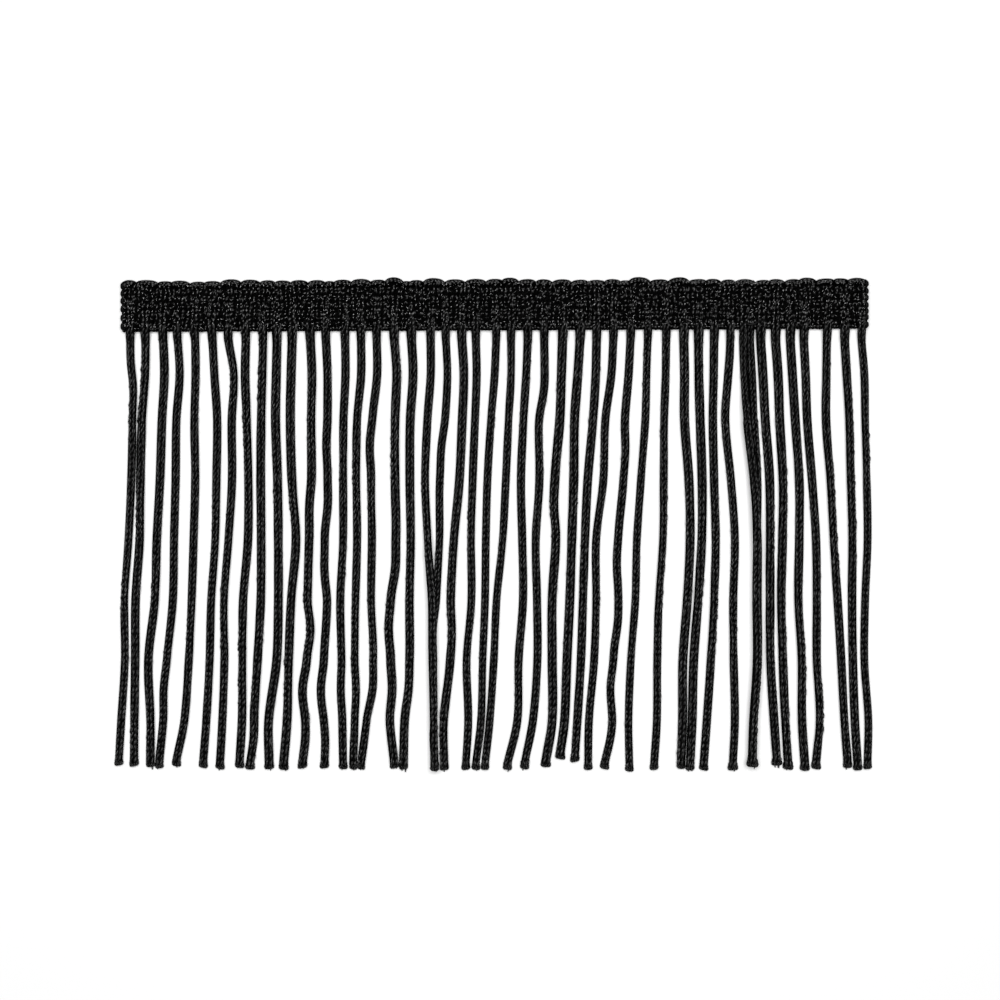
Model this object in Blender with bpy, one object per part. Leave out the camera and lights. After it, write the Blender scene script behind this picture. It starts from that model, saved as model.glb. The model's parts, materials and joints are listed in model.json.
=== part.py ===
"""Corded fringe trim, lying flat on its back with its cords loosely straight.

Two pieces: the knitted heading, a band with rounded chain rows and a scalloped top edge, and the
fringe, a row of cords that leave a narrow knitted row along the heading's lower edge.

Sizes are in millimetres until a point is made. X runs along the heading from its left end, Y runs
from the cord tips (minus) to the scallops (plus) with 0 at the heading's lower edge, and Z is up
from the surface that the trim lies on. The last step puts the origin under the middle of the trim.
"""

import math
from typing import NamedTuple

import bmesh
import bpy
from mathutils import Vector

MM = 0.001
PIECE_GAP = 0.3

# Heading
HEADING_LENGTH = 186.8
ROW_PITCH = 2.05
ROWS = 6
ROW_CREST = 3.2
ROW_GROOVE = 2.7
RIM_HEIGHT = 1.9
LOOP_FOOT = 12.1
LOOP_RISE = 0.65
LOOP_FLANK = 0.8
LOOP_IN_TOP_ROW = 0.35
LOOP_BULGE = 0.15
END_BUMP = 0.3
LEFT_EDGE = -0.3
EDGE_CLIMB = 0.83

# Crowns of the loops along the top edge, from the left end
LOOP_CROWNS = (
    1.8, 6.3, 11.1, 14.8, 19.0, 23.0, 27.7, 31.9, 36.6, 40.2, 44.5,
    49.1, 52.2, 55.7, 60.1, 64.3, 68.2, 73.2, 78.0, 84.0, 88.7, 93.5,
    97.3, 102.0, 106.2, 110.3, 115.1, 118.8, 122.9, 126.2, 129.6, 135.1, 139.2,
    145.1, 148.0, 152.3, 156.4, 160.0, 164.5, 167.6, 171.4, 175.5, 179.8, 184.1,
)

# Root row, which holds the cords
ROOT_FOOT = 0.3
ROOT_TOP = 2.0
ROOT_RIM = 2.4
ROOT_BACK = 2.6

# Cords
ROOT_STRAIGHT = 2.0
LEVEL_FROM = 9.0
CORD_HEIGHT = 0.92
CORD_BACK = 0.62
CORD_GAP = 0.14
LAP_GAP = 0.15
END_WIDTH = 1.15
RING_DEPTHS = (2, 6.5, 11.25, 16.5, 22.5, 30, 37.5, 45, 52.5, 60, 67.5, 75, 82.5, 90, 97.5, 103)
SWAY_DEPTHS = (11.25, 22.5, 37.5, 52.5, 67.5, 82.5, 97.5)
TIP_READ = 1.5


class Cord(NamedTuple):
    root: float
    sway: tuple
    drop: float
    width: float


# root: distance from the left end; sway: how far the cord has wandered sideways at each depth in
# SWAY_DEPTHS and at its tip; drop: length below the heading's lower edge; width: across the cord
CORD_ROWS = (
    # root  at 11.25  22.5  37.5  52.5  67.5  82.5  97.5   tip    drop  width
    (2.4, (0.2, 0.4, 0.1, -0.6, -1.6, -1.5, -2.4, -3.0), 108.9, 1.9),
    (6.1, (-0.1, -0.9, -1.3, -1.5, -2.5, -2.6, -2.8, -2.9), 109.1, 2.05),
    (10.5, (0.3, -0.3, -0.8, -1.6, -2.1, -3.7, -3.2, -3.2), 109.3, 2.05),
    (14.1, (0.5, -0.3, -0.5, -0.9, -1.2, -2.7, -3.6, -4.6), 109.6, 1.95),
    (18.5, (0.1, -0.2, 0.0, -0.4, -0.9, -1.6, -2.7, -4.7), 109.1, 1.95),
    (22.8, (0.5, 1.2, 1.0, 0.7, -0.3, -0.7, -1.5, -2.3), 109.5, 1.95),
    (27.0, (1.0, 0.6, 0.7, -0.2, -1.3, -1.2, -1.7, -2.3), 109.8, 1.95),
    (31.2, (-0.2, 0.2, 0.6, 0.5, -0.7, -0.9, -1.0, -1.6), 109.5, 2.05),
    (35.5, (-0.2, -0.5, -0.6, -0.5, -0.6, -1.4, -2.4, -3.3), 109.9, 2.1),
    (39.0, (-0.2, -0.4, 0.1, 0.3, 0.3, -0.1, -2.1, -2.0), 109.8, 2.15),
    (42.8, (-0.3, -0.5, -0.1, 0.9, -0.3, -0.9, -1.3, -2.2), 110.0, 2.15),
    (47.3, (0.4, 0.2, 0.3, -0.3, -0.7, -0.9, -1.4, -2.0), 109.6, 2.1),
    (51.2, (0.4, 0.4, 0.4, -0.3, 0.3, -0.5, -0.7, -0.4), 109.6, 2.0),
    (56.0, (0.1, -0.4, -0.5, -0.5, -1.2, -0.9, -0.7, -0.5), 109.8, 1.95),
    (60.0, (0.0, -1.0, -1.2, -1.0, -1.4, -1.6, -1.6, -2.0), 109.9, 1.95),
    (63.9, (0.1, -1.1, -1.4, -1.2, -1.4, -0.9, -2.5, -3.9), 109.9, 1.95),
    (68.3, (0.6, 0.2, 0.2, 0.4, -0.9, -0.9, -1.1, 0.0), 109.6, 2.15),
    (72.6, (0.4, -0.3, -0.4, -0.2, -0.5, -0.5, -1.7, -2.0), 109.9, 2.1),
    (77.4, (0.0, -0.8, -1.4, -0.7, 0.3, 0.5, 0.8, 1.0), 110.1, 1.95),
    (81.2, (0.4, -0.2, -1.5, -1.6, -2.4, -3.1, -2.9, -2.7), 109.4, 1.85),
    (85.2, (0.5, 0.1, -0.6, -2.0, -2.8, -2.9, -4.5, -4.4), 110.1, 2.1),
    (88.7, (0.2, -0.2, -0.8, -1.2, -1.1, -2.3, -1.9, -2.5), 110.0, 1.9),
    (93.8, (-0.4, -1.3, -2.2, -2.6, -2.8, -3.4, -3.8, -5.1), 110.0, 1.85),
    (97.5, (0.0, -0.6, -1.3, -2.1, -3.6, -4.3, -5.3, -6.5), 110.0, 1.85),
    (101.7, (-0.4, -1.1, -1.7, -1.4, -1.2, -2.3, -2.6, -5.1), 110.0, 1.95),
    (105.8, (0.0, -1.3, -1.2, -2.1, -1.8, -1.7, -2.8, -4.9), 109.8, 1.95),
    (110.4, (-0.3, -0.7, -1.9, -1.7, -2.6, -2.6, -2.6, -4.2), 109.3, 2.2),
    (114.8, (-0.6, -1.4, -1.6, -2.1, -2.6, -3.3, -3.9, -5.0), 107.3, 2.2),
    (118.9, (-0.2, -0.9, -2.2, -2.9, -3.4, -3.9, -4.8, -5.4), 108.0, 2.05),
    (123.1, (-0.5, -2.0, -2.5, -4.3, -4.3, -4.8, -6.1, -6.3), 110.0, 1.9),
    (127.4, (-0.5, -1.4, -1.8, -3.1, -3.1, -4.3, -4.7, -6.5), 109.8, 1.95),
    (131.7, (-0.3, -0.6, -1.7, -2.7, -3.1, -4.2, -4.8, -4.6), 110.4, 1.85),
    (136.3, (-0.1, -0.5, -0.6, -0.8, -1.8, -2.2, -2.3, -3.0), 110.0, 1.9),
    (140.7, (0.2, 0.2, 1.3, 1.6, 0.9, -0.2, -0.3, -0.7), 109.7, 2.15),
    (144.4, (0.1, 0.4, 0.9, 0.8, -0.1, -1.2, -1.6, -2.1), 110.1, 2.15),
    (148.3, (-0.1, -0.3, 0.0, 0.4, 0.0, -0.8, -1.8, -2.6), 110.1, 2.0),
    (152.2, (-0.4, -1.1, 0.3, 1.3, 0.9, 1.0, 1.3, 0.8), 110.1, 1.95),
    (155.4, (0.4, 1.0, 2.7, 3.5, 3.5, 3.6, 2.6, 2.3), 109.1, 2.1),
    (157.3, (0.5, 1.0, 1.8, 1.7, 1.6, 1.7, 0.8, 0.5), 108.0, 2.0),
    (159.9, (0.6, 1.2, 2.3, 2.4, 2.4, 2.5, 3.4, 4.1), 108.9, 2.15),
    (163.6, (0.7, 1.1, 1.9, 1.8, 1.5, 1.9, 2.5, 3.2), 109.9, 2.15),
    (167.3, (0.6, 1.3, 2.3, 2.3, 2.1, 2.9, 3.0, 3.7), 110.2, 2.1),
    (170.7, (0.5, 0.9, 2.1, 3.1, 3.3, 3.3, 4.0, 3.1), 109.8, 2.0),
    (176.5, (-0.1, -0.2, 0.9, 1.7, 2.7, 3.6, 4.4, 5.2), 109.5, 2.0),
    (180.9, (0.6, 1.2, 1.6, 2.0, 1.9, 2.1, 2.6, 3.3), 110.1, 2.05),
    (185.1, (0.8, 1.0, 1.4, 1.6, 1.0, 0.8, 1.8, 1.6), 109.8, 1.85),
)
CORDS = [Cord(*row) for row in CORD_ROWS]


class Bend(NamedTuple):
    cord: int
    depth: float
    shift: float


# Short bends between the depths above, as sideways shifts of a cord (numbered from 0 at the left)
BEND_REACH = 8.0
BEND_ROWS = (
    # cord depth shift
    (0, 15, 0.3),
    (3, 90, -0.35),
    (8, 102, 0.4),
    (11, 44, -0.3),
    (11, 75, 0.85),
    (11, 90, -0.85),
    (11, 102, 0.4),
    (12, 29, -0.3),
    (12, 44, 0.35),
    (12, 61, -0.4),
    (12, 90, -0.6),
    (12, 102, 0.4),
    (13, 90, -0.3),
    (14, 90, 0.3),
    (15, 29, -0.4),
    (15, 90, 0.5),
    (16, 60, 0.45),
    (16, 75, -0.45),
    (16, 90, 0.55),
    (17, 90, 0.3),
    (19, 29, -0.3),
    (19, 75, -0.4),
    (19, 102, -0.35),
    (20, 75, 0.3),
    (25, 16, 0.35),
    (26, 44, -0.3),
    (30, 30, 0.3),
    (30, 59, -0.3),
    (30, 73, 0.3),
    (30, 90, -0.6),
    (30, 102, 0.3),
)
BENDS = [Bend(*row) for row in BEND_ROWS]

# Cords whose end is a larger knot (numbered from 0 at the left) and how wide the knot is
KNOTS = {36: 2.6, 37: 3.1, 39: 2.9, 40: 2.9, 41: 2.5, 42: 2.5}


class KnotRing(NamedTuple):
    from_tip: float
    width: float
    tall: float


# The rounded end of a cord below its neck, all as shares of the knot's width
NECK_FROM_TIP = 1.15
KNOT_RINGS = (
    KnotRing(from_tip=0.62, width=1.0, tall=1.0),
    KnotRing(from_tip=0.25, width=0.9, tall=0.86),
    KnotRing(from_tip=0.0, width=0.45, tall=0.58),
)


class Lap(NamedTuple):
    over: int
    under: int
    start: float
    full: float


# Cords that ride up over the next one, and the depths between which they climb
LAPS = (Lap(over=18, under=19, start=45.0, full=60.0), Lap(over=37, under=38, start=10.0, full=22.5))

YARN_BLACK = (0.012, 0.012, 0.013, 1.0)


def point(x, y, z):
    return Vector((x, y, z)) * MM


def smoothstep(low, high, value):
    share = min(max((value - low) / (high - low), 0.0), 1.0)
    return share * share * (3 - 2 * share)


def edge_height(x):
    """Height of the heading's lower edge, which climbs a little from left to right."""
    return LEFT_EDGE + EDGE_CLIMB * x / HEADING_LENGTH


def smooth_curve(stops, values, at):
    """A curve through the values at the stops, with the slope at each stop taken from its neighbours."""
    if at <= stops[0]:
        return values[0]
    if at >= stops[-1]:
        return values[-1]
    last = len(stops) - 1

    def slope(i):
        before, after = max(i - 1, 0), min(i + 1, last)
        return (values[after] - values[before]) / (stops[after] - stops[before])

    i = max(k for k in range(last) if stops[k] <= at)
    span = stops[i + 1] - stops[i]
    t = (at - stops[i]) / span
    start_share = (1 + 2 * t) * (1 - t) ** 2
    end_share = t * t * (3 - 2 * t)
    start_bend = t * (1 - t) ** 2 * span
    end_bend = t * t * (t - 1) * span
    return (
        values[i] * start_share
        + values[i + 1] * end_share
        + slope(i) * start_bend
        + slope(i + 1) * end_bend
    )


def bend_shift(index, depth):
    shift = 0.0
    for bend in BENDS:
        off = abs(depth - bend.depth) / BEND_REACH
        if bend.cord == index and off < 1:
            shift += bend.shift * (1 + math.cos(math.pi * off)) / 2
    return shift


def centre(index, depth):
    """How far a cord's middle lies from the left end of the heading."""
    cord = CORDS[index]
    stops = (ROOT_STRAIGHT, *SWAY_DEPTHS, cord.drop - TIP_READ)
    return cord.root + smooth_curve(stops, (0.0, *cord.sway), depth) + bend_shift(index, depth)


def lap_between(left, right, depth):
    return any({lap.over, lap.under} == {left, right} and depth > lap.full for lap in LAPS)


def half_width(index, wanted, depth):
    """Half of the wanted width, or less where the next cord leaves no room for it."""
    half = wanted / 2
    here = centre(index, depth)
    for other in (index - 1, index + 1):
        if 0 <= other < len(CORDS) and not lap_between(index, other, depth):
            apart = abs(centre(other, depth) - here)
            half = min(half, (apart - CORD_GAP) / 2)
    return half


def foot(index, depth):
    """Height of a cord's underside: it leaves the root row a little raised, and may lap a neighbour."""
    height = ROOT_FOOT * (1 - smoothstep(0, LEVEL_FROM, depth))
    for lap in LAPS:
        if lap.over == index:
            step = CORDS[lap.under].width * CORD_HEIGHT + LAP_GAP
            height += step * smoothstep(lap.start, lap.full, depth)
    return height


def cord_ring(index, depth, wanted, height):
    """Four corners across a cord: a broad foot and a narrower back, in the order of its root face."""
    x = centre(index, depth)
    half = half_width(index, wanted, depth)
    low = foot(index, depth)
    high = low + height
    back = half * CORD_BACK
    corners = ((-half, low), (half, low), (back, high), (-back, high))
    return [point(x + side, -depth, z) for side, z in corners]


def cord_rings(index):
    """All rings of a cord: the even stretch, then the neck and the knot at its end."""
    cord = CORDS[index]
    height = cord.width * CORD_HEIGHT
    lapped = any(lap.under == index for lap in LAPS)
    knot = cord.width if lapped else KNOTS.get(index, cord.width * END_WIDTH)
    neck = cord.drop - NECK_FROM_TIP * knot
    rings = [cord_ring(index, depth, cord.width, height) for depth in (*RING_DEPTHS, neck)]
    for ring in KNOT_RINGS:
        depth = cord.drop - ring.from_tip * knot
        rings.append(cord_ring(index, depth, ring.width * knot, ring.tall * knot * CORD_HEIGHT))
    return rings


def grow_cord(bm, face, index):
    """Extrude one cord from its face on the root row, ring by ring, down to its tip."""
    for ring in cord_rings(index):
        face = bmesh.ops.extrude_discrete_faces(bm, faces=[face])["faces"][0]
        for corner, place in zip(face.verts, ring):
            corner.co = place


def fringe_mesh():
    """The root row with a square face for each cord, and the cords grown from those faces."""
    bm = bmesh.new()
    back = ROW_PITCH - PIECE_GAP / 2
    profile = (
        (0.0, 0.0),
        (0.0, ROOT_FOOT),
        (0.0, ROOT_TOP),
        (0.0, ROOT_RIM),
        (ROW_PITCH / 2, ROW_CREST),
        (back, ROOT_BACK),
        (back, 0.0),
    )
    stations = [END_BUMP / 2]
    for index, cord in enumerate(CORDS):
        half = half_width(index, cord.width, 0.0)
        stations += [cord.root - half, cord.root + half]
    stations.append(HEADING_LENGTH - END_BUMP / 2)
    loops = [
        [bm.verts.new(point(x, edge_height(x) + y, z)) for y, z in profile]
        for x in stations
    ]
    bm.faces.new(loops[0])
    bm.faces.new(reversed(loops[-1]))
    cord_faces = []
    for place, (left, right) in enumerate(zip(loops, loops[1:])):
        for k in range(len(profile)):
            n = (k + 1) % len(profile)
            quad = bm.faces.new((left[k], right[k], right[n], left[n]))
            if k == 1 and place % 2 == 1:
                cord_faces.append(quad)
    for index, face in enumerate(cord_faces):
        grow_cord(bm, face, index)
    return bm


def heading_columns():
    """Places along the heading, each with its share of a loop: 0 between two loops, 1 at a crown."""
    middles = [(a + b) / 2 for a, b in zip(LOOP_CROWNS, LOOP_CROWNS[1:])]
    feet = [0.0, *middles, HEADING_LENGTH]
    columns = []
    for left, crown, right in zip(feet, LOOP_CROWNS, feet[1:]):
        rise, fall = (left + crown) / 2, (crown + right) / 2
        columns += [(left, 0.0), (rise, LOOP_FLANK), (crown, 1.0), (fall, LOOP_FLANK)]
    columns.append((HEADING_LENGTH, 0.0))
    return columns


def heading_lines():
    """Lines along the heading as (height, thickness, share of the loops): rim, crests, grooves, rim."""
    lines = [(ROW_PITCH + PIECE_GAP / 2, ROOT_BACK, 0.0)]
    for row in range(1, ROWS):
        loop_share = LOOP_IN_TOP_ROW if row == ROWS - 1 else 0.0
        lines.append(((row + 0.5) * ROW_PITCH, ROW_CREST, loop_share))
        if row < ROWS - 1:
            lines.append(((row + 1) * ROW_PITCH, ROW_GROOVE, 0.0))
    lines.append((LOOP_FOOT, RIM_HEIGHT, 1.0))
    return lines


def heading_mesh():
    """The band: ribs along its face, loops along its top edge and a flat back."""
    bm = bmesh.new()
    columns = heading_columns()
    lines = heading_lines()
    last = len(columns) - 1
    top = []
    for place, (x, loop) in enumerate(columns):
        column = []
        for y, thick, loop_share in lines:
            bump = 0.0 if thick == ROW_CREST else END_BUMP
            end_shift = {0: bump, last: -bump}.get(place, 0.0)
            height = edge_height(x) + y + LOOP_RISE * loop * loop_share
            thickness = thick + LOOP_BULGE * (loop - 0.5)
            column.append(bm.verts.new(point(x + end_shift, height, thickness)))
        top.append(column)
    for left, right in zip(top, top[1:]):
        for k in range(len(lines) - 1):
            bm.faces.new((left[k], right[k], right[k + 1], left[k + 1]))
    rim = [column[0] for column in top]
    rim += top[-1][1:-1]
    rim += [column[-1] for column in reversed(top)]
    rim += reversed(top[0][1:-1])
    base = [bm.verts.new((v.co.x, v.co.y, 0.0)) for v in rim]
    for k in range(len(rim)):
        n = (k + 1) % len(rim)
        bm.faces.new((rim[k], base[k], base[n], rim[n]))
    lower = base[: last + 1]
    upper = base[last + len(lines) - 1 : 2 * last + len(lines)][::-1]
    ends = len(lines) - 2
    right_end = base[last + 1 : last + 1 + ends]
    left_end = base[-ends:]
    for k in range(1, last - 1):
        bm.faces.new((lower[k], upper[k], upper[k + 1], lower[k + 1]))
    bm.faces.new((*left_end, lower[0], lower[1], upper[1], upper[0]))
    bm.faces.new((lower[last - 1], lower[last], *right_end, upper[last], upper[last - 1]))
    return bm


def yarn_material(name):
    material = bpy.data.materials.new(name)
    material.use_nodes = True
    surface = material.node_tree.nodes["Principled BSDF"]
    surface.inputs["Base Color"].default_value = YARN_BLACK
    surface.inputs["Roughness"].default_value = 0.55
    surface.inputs["Metallic"].default_value = 0.0
    return material


def add_piece(name, bm, frame):
    bmesh.ops.recalc_face_normals(bm, faces=bm.faces)
    mesh = bpy.data.meshes.new(name)
    bm.to_mesh(mesh)
    bm.free()
    mesh.materials.append(yarn_material(name + "_yarn"))
    piece = bpy.data.objects.new(name, mesh)
    piece.parent = frame
    bpy.context.scene.collection.objects.link(piece)
    return piece


def middle_of(pieces):
    """The middle of the pieces' joint box in plan."""
    points = [v.co for piece in pieces for v in piece.data.vertices]
    spans = [(min(p[axis] for p in points), max(p[axis] for p in points)) for axis in (0, 1)]
    return [(low + high) / 2 for low, high in spans]


def main():
    for old in list(bpy.data.objects):
        bpy.data.objects.remove(old, do_unlink=True)
    frame = bpy.data.objects.new("trim_frame", None)
    bpy.context.scene.collection.objects.link(frame)
    pieces = [add_piece("heading", heading_mesh(), frame), add_piece("fringe", fringe_mesh(), frame)]
    middle_x, middle_y = middle_of(pieces)
    frame.location = (-middle_x, -middle_y, 0.0)
    bpy.context.view_layer.update()


main()
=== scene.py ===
import json
import math
import random

import bpy
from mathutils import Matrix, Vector

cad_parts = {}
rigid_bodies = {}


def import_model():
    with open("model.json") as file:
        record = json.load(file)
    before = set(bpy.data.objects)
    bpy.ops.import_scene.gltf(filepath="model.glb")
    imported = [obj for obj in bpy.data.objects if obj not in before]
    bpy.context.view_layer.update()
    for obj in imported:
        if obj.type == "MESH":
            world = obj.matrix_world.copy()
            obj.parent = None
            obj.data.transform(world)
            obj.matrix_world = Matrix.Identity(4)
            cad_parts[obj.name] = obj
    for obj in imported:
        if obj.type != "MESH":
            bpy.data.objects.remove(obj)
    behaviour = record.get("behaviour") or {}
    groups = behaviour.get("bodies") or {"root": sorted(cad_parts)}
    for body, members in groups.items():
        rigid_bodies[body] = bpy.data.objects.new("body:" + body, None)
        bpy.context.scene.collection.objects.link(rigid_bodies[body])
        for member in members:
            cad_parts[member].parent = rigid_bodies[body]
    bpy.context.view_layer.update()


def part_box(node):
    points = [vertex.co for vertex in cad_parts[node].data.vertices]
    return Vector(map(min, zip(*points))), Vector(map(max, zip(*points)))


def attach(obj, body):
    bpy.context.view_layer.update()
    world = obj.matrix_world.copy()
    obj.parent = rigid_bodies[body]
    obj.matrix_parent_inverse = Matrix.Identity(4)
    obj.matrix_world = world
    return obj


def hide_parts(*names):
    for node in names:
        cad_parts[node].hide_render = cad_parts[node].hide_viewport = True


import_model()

mm = 0.001
draws = random.Random(46)

# The trim laid out in mm: x from the heading's left end, y up from its lower edge, z off the table
trim = {
    "length": 186.8,
    "edgeAtLeft": -0.3,
    "edgeClimb": 0.83,
    "longestCord": 110.4,
}
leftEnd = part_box("heading")[0].x
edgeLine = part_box("fringe")[0].y + trim["longestCord"] * mm


def spot(x, y, z):
    return Vector((leftEnd + x * mm, edgeLine + y * mm, z * mm))


def edgeAt(x):
    return trim["edgeAtLeft"] + trim["edgeClimb"] * x / trim["length"]


def ease(low, high, value):
    share = min(max((value - low) / (high - low), 0.0), 1.0)
    return share * share * (3 - 2 * share)


# Meshes and node trees shared by the pieces

def tubeMesh(name, lines, sides, up=(0, 0, 1), material=None):
    # Each line is a list of (point, half width, half height) rings; the UV map runs along and round it
    verts = []
    faces = []
    uvs = []
    for line in lines:
        first = len(verts)
        last = len(line) - 1
        runs = [0.0]
        for k, (point, wide, tall) in enumerate(line):
            ahead = (line[min(k + 1, last)][0] - line[max(k - 1, 0)][0]).normalized()
            side = ahead.cross(Vector(up)).normalized()
            lift = side.cross(ahead)
            if k:
                runs.append(runs[-1] + (point - line[k - 1][0]).length)
            for s in range(sides):
                turn = 2 * math.pi * (s + 0.5) / sides
                verts.append(point + side * wide * math.cos(turn) + lift * tall * math.sin(turn))
        for k in range(last):
            for s in range(sides):
                a = first + k * sides + s
                b = first + k * sides + (s + 1) % sides
                faces.append((b, a, a + sides, b + sides))
                uvs += [(runs[k], (s + 1) / sides), (runs[k], s / sides),
                        (runs[k + 1], s / sides), (runs[k + 1], (s + 1) / sides)]
        faces.append(tuple(range(first, first + sides)))
        uvs += [(0.0, s / sides) for s in range(sides)]
        faces.append(tuple(first + last * sides + s for s in reversed(range(sides))))
        uvs += [(runs[-1], s / sides) for s in reversed(range(sides))]
    mesh = bpy.data.meshes.new(name)
    mesh.from_pydata([tuple(v) for v in verts], [], faces)
    layer = mesh.uv_layers.new(name="UVMap")
    layer.data.foreach_set("uv", [value for corner in uvs for value in corner])
    mesh.shade_smooth()
    if material:
        mesh.materials.append(material)
    return mesh


def addObject(name, data):
    item = bpy.data.objects.new(name, data)
    bpy.context.scene.collection.objects.link(item)
    return item


def newTree(name, inputs):
    tree = bpy.data.node_groups.new(name, "GeometryNodeTree")
    tree.interface.new_socket("Geometry", in_out="INPUT", socket_type="NodeSocketGeometry")
    for label, kind in inputs.items():
        tree.interface.new_socket(label, in_out="INPUT", socket_type="NodeSocket" + kind)
    tree.interface.new_socket("Geometry", in_out="OUTPUT", socket_type="NodeSocketGeometry")
    return tree


def addNode(tree, kind, links=None, **settings):
    # Makes a node; each link is a socket's identifier or number with another node's output or a plain value
    item = tree.nodes.new(kind)
    for key, value in settings.items():
        setattr(item, key, value)
    for which, source in (links or {}).items():
        socket = item.inputs[which] if isinstance(which, int) else socketOf(item.inputs, which)
        if isinstance(source, bpy.types.NodeSocket):
            tree.links.new(source, socket)
        else:
            socket.default_value = source
    return item


def socketOf(sockets, identifier):
    return next(s for s in sockets if s.identifier == identifier)


def randomVector(tree, low, high, seed):
    item = addNode(tree, "FunctionNodeRandomValue", {"Min": low, "Max": high}, data_type="FLOAT_VECTOR")
    tree.links.new(seed, item.inputs["Seed"])
    return item.outputs["Value"]


def eitherWay(tree, reach, seed):
    # A random vector within that reach of zero
    return randomVector(tree, tuple(-value for value in reach), reach, seed)


def seedAfter(tree, seed, step):
    # Another seed, so that each random value is drawn on its own
    return addNode(tree, "ShaderNodeMath", {0: seed, 1: step}, operation="ADD").outputs[0]


def joined(tree, parts):
    join = tree.nodes.new("GeometryNodeJoinGeometry")
    for part in parts:
        tree.links.new(part, join.inputs["Geometry"])
    return join.outputs["Geometry"]


def dressed(tree, parts, yarn):
    # The parts as real meshes in that yarn
    real = addNode(tree, "GeometryNodeRealizeInstances", {"Geometry": parts})
    coat = addNode(tree, "GeometryNodeSetMaterial",
                   {"Geometry": real.outputs["Geometry"], "Material": yarn})
    return coat.outputs["Geometry"]


def grown(carrier, tree, values, name):
    # The plain mesh that a tree grows on its carrier, as an object of its own
    modifier = carrier.modifiers.new("grow", "NODES")
    modifier.node_group = tree
    for socket in tree.interface.items_tree:
        if socket.in_out == "INPUT" and socket.name in values:
            modifier[socket.identifier] = values[socket.name]
    bpy.context.view_layer.update()
    graph = bpy.context.evaluated_depsgraph_get()
    mesh = bpy.data.meshes.new_from_object(carrier.evaluated_get(graph), depsgraph=graph)
    carrier.modifiers.remove(modifier)
    bpy.data.objects.remove(carrier)
    if mesh.materials[0] is None:
        mesh.materials.pop(index=0)  # the carrier's own empty slot
    mesh.name = name
    return addObject(name, mesh)


def pathObject(name, splines):
    # A curve for a tree to follow: each spline is a list of (point, radius, tilt)
    curve = bpy.data.curves.new(name, "CURVE")
    curve.dimensions = "3D"
    for line in splines:
        spline = curve.splines.new("POLY")
        spline.points.add(len(line) - 1)
        for point, (place, radius, tilt) in zip(spline.points, line):
            point.co = (*place, 1)
            point.radius = radius
            point.tilt = tilt
    return addObject(name, curve)


def dropObjects(items):
    for item in items:
        bpy.data.objects.remove(item)


# Finishes of the yarns

def newMaterial(name):
    material = bpy.data.materials.new(name)
    material.use_nodes = True
    return material, material.node_tree.nodes["Principled BSDF"]


def dyeAndShadeRamp(tree, amount, look):
    # Two greys mixed by an amount: dye where the amount is random noise, painted highlight and painted shade
    # where it is a ridge's height
    ramp = addNode(tree, "ShaderNodeValToRGB", {"Fac": amount})
    tones = (look["dark"], look["light"])
    for stop, place, tone in zip(ramp.color_ramp.elements, look["toneStops"], tones):
        stop.position = place
        stop.color = (tone, tone, tone, 1.0)
    return ramp.outputs["Color"]


def yarnMaterial(name, look):
    # Plied glossy yarn: ridges that wind along the UV map, fine fibres over them and uneven dye
    material, surface = newMaterial(name)
    tree = material.node_tree
    surface.inputs["Specular IOR Level"].default_value = look["gloss"]
    surface.inputs["IOR"].default_value = look["ior"]

    uv = addNode(tree, "ShaderNodeUVMap", uv_map="UVMap")
    parts = addNode(tree, "ShaderNodeSeparateXYZ", {0: uv.outputs["UV"]})
    along = addNode(tree, "ShaderNodeMath", {0: parts.outputs["X"], 1: look["turns"]}, operation="MULTIPLY")
    wind = addNode(tree, "ShaderNodeMath", {0: parts.outputs["Y"], 1: look["plies"], 2: along.outputs[0]},
                   operation="MULTIPLY_ADD")
    angle = addNode(tree, "ShaderNodeMath", {0: wind.outputs[0], 1: 2 * math.pi}, operation="MULTIPLY")
    ply = addNode(tree, "ShaderNodeMath", {0: angle.outputs[0]}, operation="SINE")
    place = addNode(tree, "ShaderNodeTexCoord")
    fibres = addNode(tree, "ShaderNodeTexNoise", {
        "Vector": place.outputs["Object"], "Scale": look["fibreScale"], "Detail": 2.0,
    })
    relief = addNode(tree, "ShaderNodeMath", {
        0: fibres.outputs["Fac"], 1: look["fibres"], 2: ply.outputs[0],
    }, operation="MULTIPLY_ADD")
    bump = addNode(tree, "ShaderNodeBump", {
        "Strength": look["bump"], "Distance": look["plyHeight"], "Height": relief.outputs[0],
    })
    tree.links.new(bump.outputs["Normal"], surface.inputs["Normal"])

    dye = addNode(tree, "ShaderNodeTexNoise", {
        "Vector": place.outputs["Object"], "Scale": look["dyeScale"], "Detail": 2.0,
    })
    tree.links.new(dyeAndShadeRamp(tree, dye.outputs["Fac"], look), surface.inputs["Base Color"])
    wear = addNode(tree, "ShaderNodeMapRange", {
        0: dye.outputs["Fac"], 1: 0.5 - look["patches"], 2: 0.5 + look["patches"],
        3: look["dull"], 4: look["sleek"],
    })
    tree.links.new(wear.outputs["Result"], surface.inputs["Roughness"])
    return material


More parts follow.
